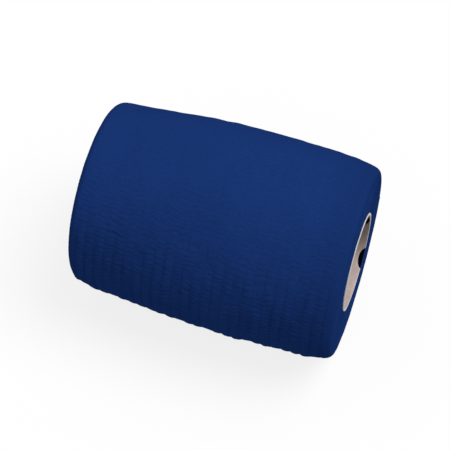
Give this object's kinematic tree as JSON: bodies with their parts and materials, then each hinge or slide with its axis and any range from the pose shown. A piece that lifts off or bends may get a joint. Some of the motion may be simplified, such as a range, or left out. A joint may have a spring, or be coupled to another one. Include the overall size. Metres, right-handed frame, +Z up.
{
  "type": "cohesive bandage roll",
  "caption": "Roll of dark blue crinkled self-adherent bandage, wound on a thin perforated tube core and lying on its side.",
  "frame": {"origin": "middle of the footprint, on the surface the roll lies on", "axes": "+X along the roll towards its open end, +Z up"},
  "size_m": [0.102, 0.0774, 0.0766],
  "materials": {
    "bandage_cloth": "matte crinkled nonwoven bandage, dark blue, with fine cross ripples held by elastic threads",
    "core_plastic": "smooth matte beige plastic"
  },
  "bodies": {
    "root": {"bandage": "bandage_cloth", "core": "core_plastic"}
  },
  "joints": []
}
